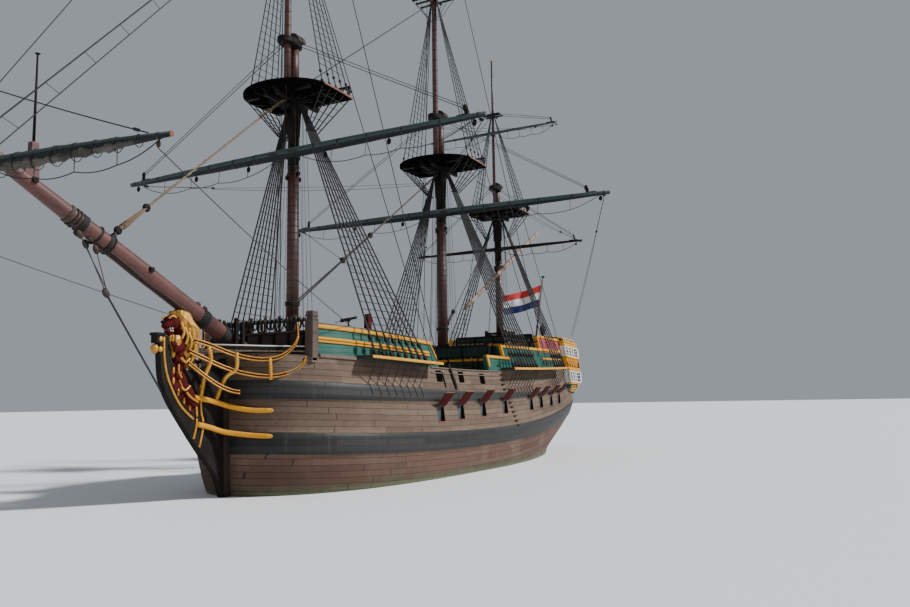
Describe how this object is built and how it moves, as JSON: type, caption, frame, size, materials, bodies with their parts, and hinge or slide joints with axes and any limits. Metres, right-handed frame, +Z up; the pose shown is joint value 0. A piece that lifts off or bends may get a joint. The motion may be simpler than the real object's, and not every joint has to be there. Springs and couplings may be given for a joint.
{
  "type": "tall ship, 1:2 scale model",
  "caption": "Three-masted East Indiaman afloat with furled canvas, lion figurehead, open gunports, braced yards, lateen mizzen and an ensign.",
  "frame": {"origin": "on the waterline plane, on the centreline, amidships between the stem and the sternpost", "axes": "+X towards the bow, +Y to port, +Z up"},
  "size_m": [28.032, 12.8961, 27.75],
  "materials": {
    "oak": "weathered oak planking with dark caulked seams",
    "black": "black paint on wood, satin",
    "green": "green paint on planking, satin",
    "ochre": "ochre yellow paint on wood, satin",
    "pine": "scrubbed deck planks",
    "mast": "red-brown varnished pine",
    "slate": "grey-green painted spar, weathered",
    "gold": "gilded carving",
    "maroon": "dark red paint, satin",
    "tan": "pale oiled spar",
    "rope": "tarred hemp rope",
    "cloth": "woven flag cloth in three stripes"
  },
  "bodies": {
    "ship": {"hull": "oak", "keel": "oak", "knee_of_head": "maroon", "beakhead": "oak", "bowsprit": "mast", "figurehead": "gold", "forecastle_deck": "pine", "quarterdeck": "pine", "poop_deck": "pine", "stern_gallery": "ochre", "head_rails_port": "gold", "head_rails_starboard": "gold", "forecastle_bulwark_port": "green", "forecastle_bulwark_starboard": "green", "quarter_bulwark_port": "green", "quarter_bulwark_starboard": "green", "quarter_gallery_port": "ochre", "quarter_gallery_starboard": "ochre", "fore_channel_port": "black", "fore_channel_starboard": "black", "aft_channel_port": "ochre", "aft_channel_starboard": "ochre", "fore_mast": "mast", "fore_top": "black", "fore_topmast": "mast", "main_mast": "mast", "main_top": "black", "main_topmast": "mast", "mizzen_mast": "mast", "mizzen_top": "black", "mizzen_topmast": "mast", "fore_stay": "rope", "main_stay": "rope", "mizzen_stay": "rope", "ensign_staff": "tan", "ensign": "cloth"},
    "fore_yard": {"fore_yard": "slate"},
    "main_yard": {"main_yard": "slate"},
    "crossjack_yard": {"crossjack_yard": "slate"},
    "mizzen_topsail_yard": {"mizzen_topsail_yard": "slate"},
    "spritsail_yard": {"spritsail_yard": "slate"},
    "lateen_yard": {"lateen_yard": "tan"},
    "capstan": {"capstan": "maroon"},
    "rudder": {"rudder": "oak"},
    "port_lid_port_1": {"port_lid_port_1": "maroon"},
    "port_lid_port_2": {"port_lid_port_2": "maroon"},
    "port_lid_port_3": {"port_lid_port_3": "maroon"},
    "port_lid_port_4": {"port_lid_port_4": "maroon"},
    "port_lid_port_5": {"port_lid_port_5": "maroon"},
    "port_lid_port_6": {"port_lid_port_6": "maroon"},
    "port_lid_port_7": {"port_lid_port_7": "maroon"},
    "port_lid_port_8": {"port_lid_port_8": "maroon"},
    "port_lid_starboard_1": {"port_lid_starboard_1": "maroon"},
    "port_lid_starboard_2": {"port_lid_starboard_2": "maroon"},
    "port_lid_starboard_3": {"port_lid_starboard_3": "maroon"},
    "port_lid_starboard_4": {"port_lid_starboard_4": "maroon"},
    "port_lid_starboard_5": {"port_lid_starboard_5": "maroon"},
    "port_lid_starboard_6": {"port_lid_starboard_6": "maroon"},
    "port_lid_starboard_7": {"port_lid_starboard_7": "maroon"},
    "port_lid_starboard_8": {"port_lid_starboard_8": "maroon"}
  },
  "joints": [
    {"name": "rudder_steering", "type": "hinge", "parent": "ship", "child": "rudder", "pos_m": [-10.4454, 0, 0], "axis": [-0.0499, 0, 0.9988], "range_deg": [-35, 35]},
    {"name": "fore_yard_brace", "type": "hinge", "parent": "ship", "child": "fore_yard", "pos_m": [7.345, 0, 9], "axis": [0, 0, 1], "range_deg": [-28, 28]},
    {"name": "main_yard_brace", "type": "hinge", "parent": "ship", "child": "main_yard", "pos_m": [-1.195, 0, 9], "axis": [0, 0, 1], "range_deg": [-34, 34]},
    {"name": "crossjack_brace", "type": "hinge", "parent": "ship", "child": "crossjack_yard", "pos_m": [-6.195, 0, 8.47], "axis": [0, 0, 1], "range_deg": [-34, 34]},
    {"name": "mizzen_topsail_brace", "type": "hinge", "parent": "ship", "child": "mizzen_topsail_yard", "pos_m": [-5.9543, 0, 13.46], "axis": [0, 0, 1], "range_deg": [-34, 34]},
    {"name": "spritsail_brace", "type": "hinge", "parent": "ship", "child": "spritsail_yard", "pos_m": [16.1083, 0, 6.5401], "axis": [-0.4418, 0, 0.8971], "range_deg": [-30, 30]},
    {"name": "lateen_peak", "type": "hinge", "parent": "ship", "child": "lateen_yard", "pos_m": [-6.195, 0, 7.7429], "axis": [0, 1, 0], "range_deg": [-15, 15]},
    {"name": "capstan_turn", "type": "hinge", "parent": "ship", "child": "capstan", "pos_m": [-3.1, 0, 3.9], "axis": [0, 0, 1], "continuous": true},
    {"name": "port_lid_port_1_hinge", "type": "hinge", "parent": "ship", "child": "port_lid_port_1", "pos_m": [4.00014, 2.74126, 2.05329], "axis": [0.9999, -0.0166, 0], "range_deg": [-132, 0]},
    {"name": "port_lid_port_2_hinge", "type": "hinge", "parent": "ship", "child": "port_lid_port_2", "pos_m": [2.75002, 2.74618, 2.08831], "axis": [1, -0.003, 0], "range_deg": [-132, 0]},
    {"name": "port_lid_port_3_hinge", "type": "hinge", "parent": "ship", "child": "port_lid_port_3", "pos_m": [1.215, 2.7395, 2.13834], "axis": [1, 0, 0], "range_deg": [-132, 0]},
    {"name": "port_lid_port_4_hinge", "type": "hinge", "parent": "ship", "child": "port_lid_port_4", "pos_m": [-0.52009, 2.72315, 2.19335], "axis": [0.9999, 0.0141, 0], "range_deg": [-132, 0]},
    {"name": "port_lid_port_5_hinge", "type": "hinge", "parent": "ship", "child": "port_lid_port_5", "pos_m": [-3.02561, 2.63789, 2.26814], "axis": [0.9987, 0.0513, 0], "range_deg": [-132, 0]},
    {"name": "port_lid_port_6_hinge", "type": "hinge", "parent": "ship", "child": "port_lid_port_6", "pos_m": [-4.20607, 2.56183, 2.33296], "axis": [0.9975, 0.0706, 0], "range_deg": [-132, 0]},
    {"name": "port_lid_port_7_hinge", "type": "hinge", "parent": "ship", "child": "port_lid_port_7", "pos_m": [-5.5618, 2.44716, 2.39768], "axis": [0.9955, 0.0948, 0], "range_deg": [-132, 0]},
    {"name": "port_lid_port_8_hinge", "type": "hinge", "parent": "ship", "child": "port_lid_port_8", "pos_m": [-6.82751, 2.30663, 2.47252], "axis": [0.9928, 0.12, 0], "range_deg": [-132, 0]},
    {"name": "port_lid_starboard_1_hinge", "type": "hinge", "parent": "ship", "child": "port_lid_starboard_1", "pos_m": [4.00014, -2.74126, 2.05329], "axis": [-0.9999, -0.0166, 0], "range_deg": [-132, 0]},
    {"name": "port_lid_starboard_2_hinge", "type": "hinge", "parent": "ship", "child": "port_lid_starboard_2", "pos_m": [2.75002, -2.74618, 2.08831], "axis": [-1, -0.003, 0], "range_deg": [-132, 0]},
    {"name": "port_lid_starboard_3_hinge", "type": "hinge", "parent": "ship", "child": "port_lid_starboard_3", "pos_m": [1.215, -2.7395, 2.13834], "axis": [-1, 0, 0], "range_deg": [-132, 0]},
    {"name": "port_lid_starboard_4_hinge", "type": "hinge", "parent": "ship", "child": "port_lid_starboard_4", "pos_m": [-0.52009, -2.72315, 2.19335], "axis": [-0.9999, 0.0141, 0], "range_deg": [-132, 0]},
    {"name": "port_lid_starboard_5_hinge", "type": "hinge", "parent": "ship", "child": "port_lid_starboard_5", "pos_m": [-3.02561, -2.63789, 2.26814], "axis": [-0.9987, 0.0513, 0], "range_deg": [-132, 0]},
    {"name": "port_lid_starboard_6_hinge", "type": "hinge", "parent": "ship", "child": "port_lid_starboard_6", "pos_m": [-4.20607, -2.56183, 2.33296], "axis": [-0.9975, 0.0706, 0], "range_deg": [-132, 0]},
    {"name": "port_lid_starboard_7_hinge", "type": "hinge", "parent": "ship", "child": "port_lid_starboard_7", "pos_m": [-5.5618, -2.44716, 2.39768], "axis": [-0.9955, 0.0948, 0], "range_deg": [-132, 0]},
    {"name": "port_lid_starboard_8_hinge", "type": "hinge", "parent": "ship", "child": "port_lid_starboard_8", "pos_m": [-6.82751, -2.30663, 2.47252], "axis": [-0.9928, 0.12, 0], "range_deg": [-132, 0]}
  ]
}
